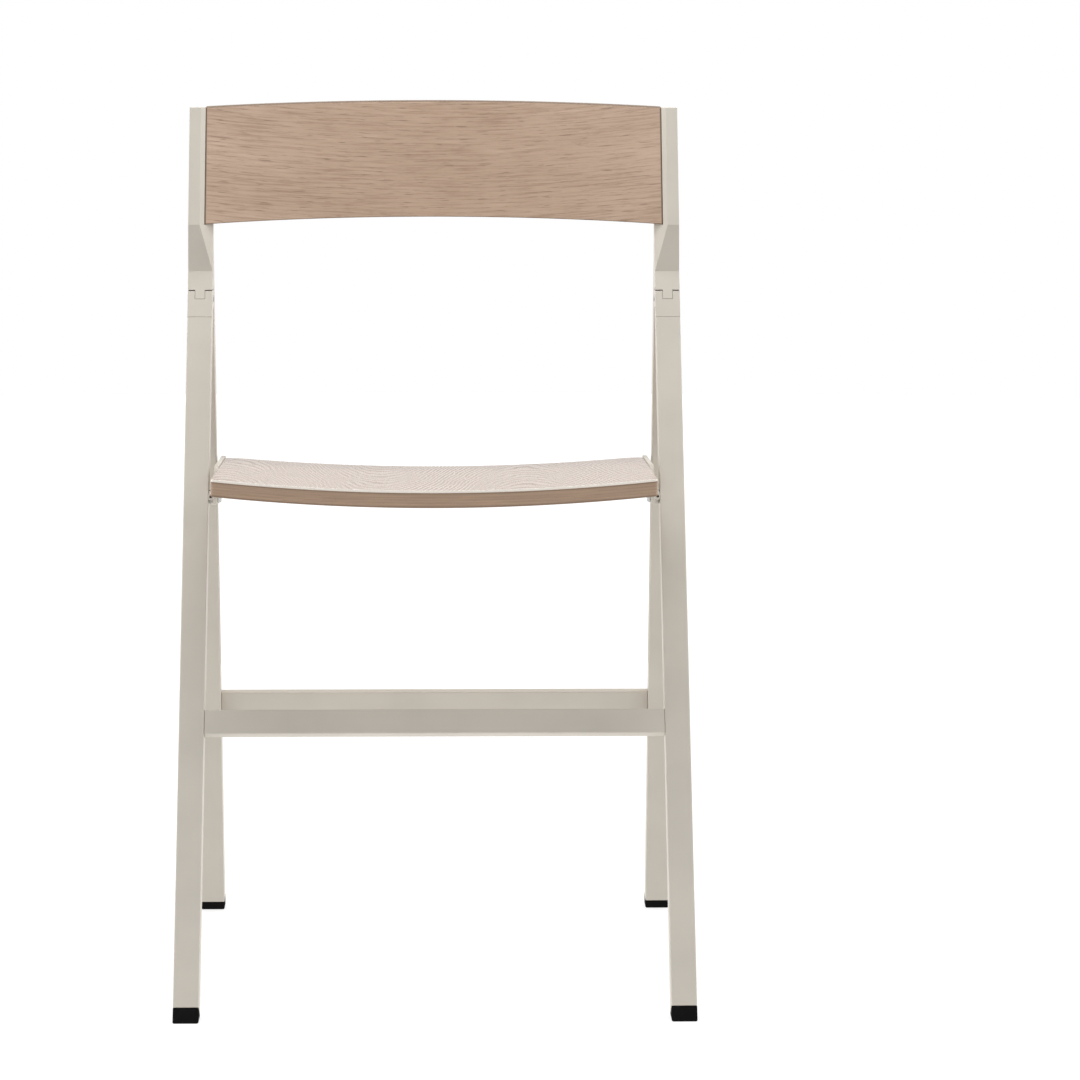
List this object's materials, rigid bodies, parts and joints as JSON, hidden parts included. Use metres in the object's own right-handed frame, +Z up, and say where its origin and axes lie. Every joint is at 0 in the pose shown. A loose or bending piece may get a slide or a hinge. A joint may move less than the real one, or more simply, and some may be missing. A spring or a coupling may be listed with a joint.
{
  "type": "folding chair",
  "caption": "Folding chair with a slim powder-coated frame, a bent wooden back panel and a dished wooden seat; the seat and the legs fold flat together.",
  "frame": {"origin": "on the floor, midway between the outer edges of the front and rear feet, on the chair's middle plane", "axes": "+Z up, the front of the chair faces -Y, +X to the sitter's left"},
  "size_m": [0.465, 0.5184, 0.8026],
  "materials": {
    "powder_coat": "warm white powder coat, fine texture, satin",
    "oak": "pale oak veneer on bent ply, matt lacquer",
    "rubber": "black moulded rubber",
    "steel": "zinc-plated steel",
    "nylon": "natural nylon"
  },
  "bodies": {
    "back_frame": {"back_panel": "oak", "hinge_bush_left": "nylon", "hinge_bush_right": "nylon", "hinge_pin_left": "steel", "hinge_pin_right": "steel", "panel_screw_high_left": "steel", "panel_screw_high_right": "steel", "panel_screw_low_left": "steel", "panel_screw_low_right": "steel", "rear_crossbar": "powder_coat", "rear_foot_left": "rubber", "rear_foot_right": "rubber", "rear_leg_left": "powder_coat", "rear_leg_right": "powder_coat", "upright_left": "powder_coat", "upright_right": "powder_coat"},
    "front_frame": {"front_cap_left": "powder_coat", "front_cap_right": "powder_coat", "front_crossbar": "powder_coat", "front_foot_left": "rubber", "front_foot_right": "rubber", "front_leg_left": "powder_coat", "front_leg_right": "powder_coat", "pivot_insert_left": "steel", "pivot_insert_right": "steel"},
    "seat": {"seat_bracket_left": "powder_coat", "seat_bracket_right": "powder_coat", "seat_panel": "oak", "seat_pivot_screw_left": "steel", "seat_pivot_screw_right": "steel", "seat_screw_1_left": "steel", "seat_screw_1_right": "steel", "seat_screw_2_left": "steel", "seat_screw_2_right": "steel", "seat_screw_3_left": "steel", "seat_screw_3_right": "steel", "seat_spacer_left": "nylon", "seat_spacer_right": "nylon", "slider_pin_left": "steel", "slider_pin_right": "steel"},
    "seat_glide_left": {"seat_glide_left": "nylon"},
    "seat_glide_right": {"seat_glide_right": "nylon"}
  },
  "joints": [
    {"name": "front_fold", "type": "hinge", "parent": "back_frame", "child": "front_frame", "pos_m": [0, 0.10968, 0.617], "axis": [1, 0, 0], "range_deg": [0, 40.5]},
    {"name": "seat_tilt", "type": "hinge", "parent": "front_frame", "child": "seat", "pos_m": [0, -0.00236, 0.44014], "axis": [-1, 0, 0], "range_deg": [0, 114.53]},
    {"name": "glide_slide_left", "type": "slide", "parent": "back_frame", "child": "seat_glide_left", "axis": [0, 0.1994, -0.9799], "range_m": [0, 0.1952]},
    {"name": "glide_slide_right", "type": "slide", "parent": "back_frame", "child": "seat_glide_right", "axis": [0, 0.1994, -0.9799], "range_m": [0, 0.1952]}
  ],
  "couplings": [
    {"joint": "seat_tilt", "follows": "front_fold", "ratio": 2.8279},
    {"joint": "glide_slide_left", "follows": "front_fold", "m_per_rad": 0.27601},
    {"joint": "glide_slide_right", "follows": "front_fold", "m_per_rad": 0.27601}
  ]
}
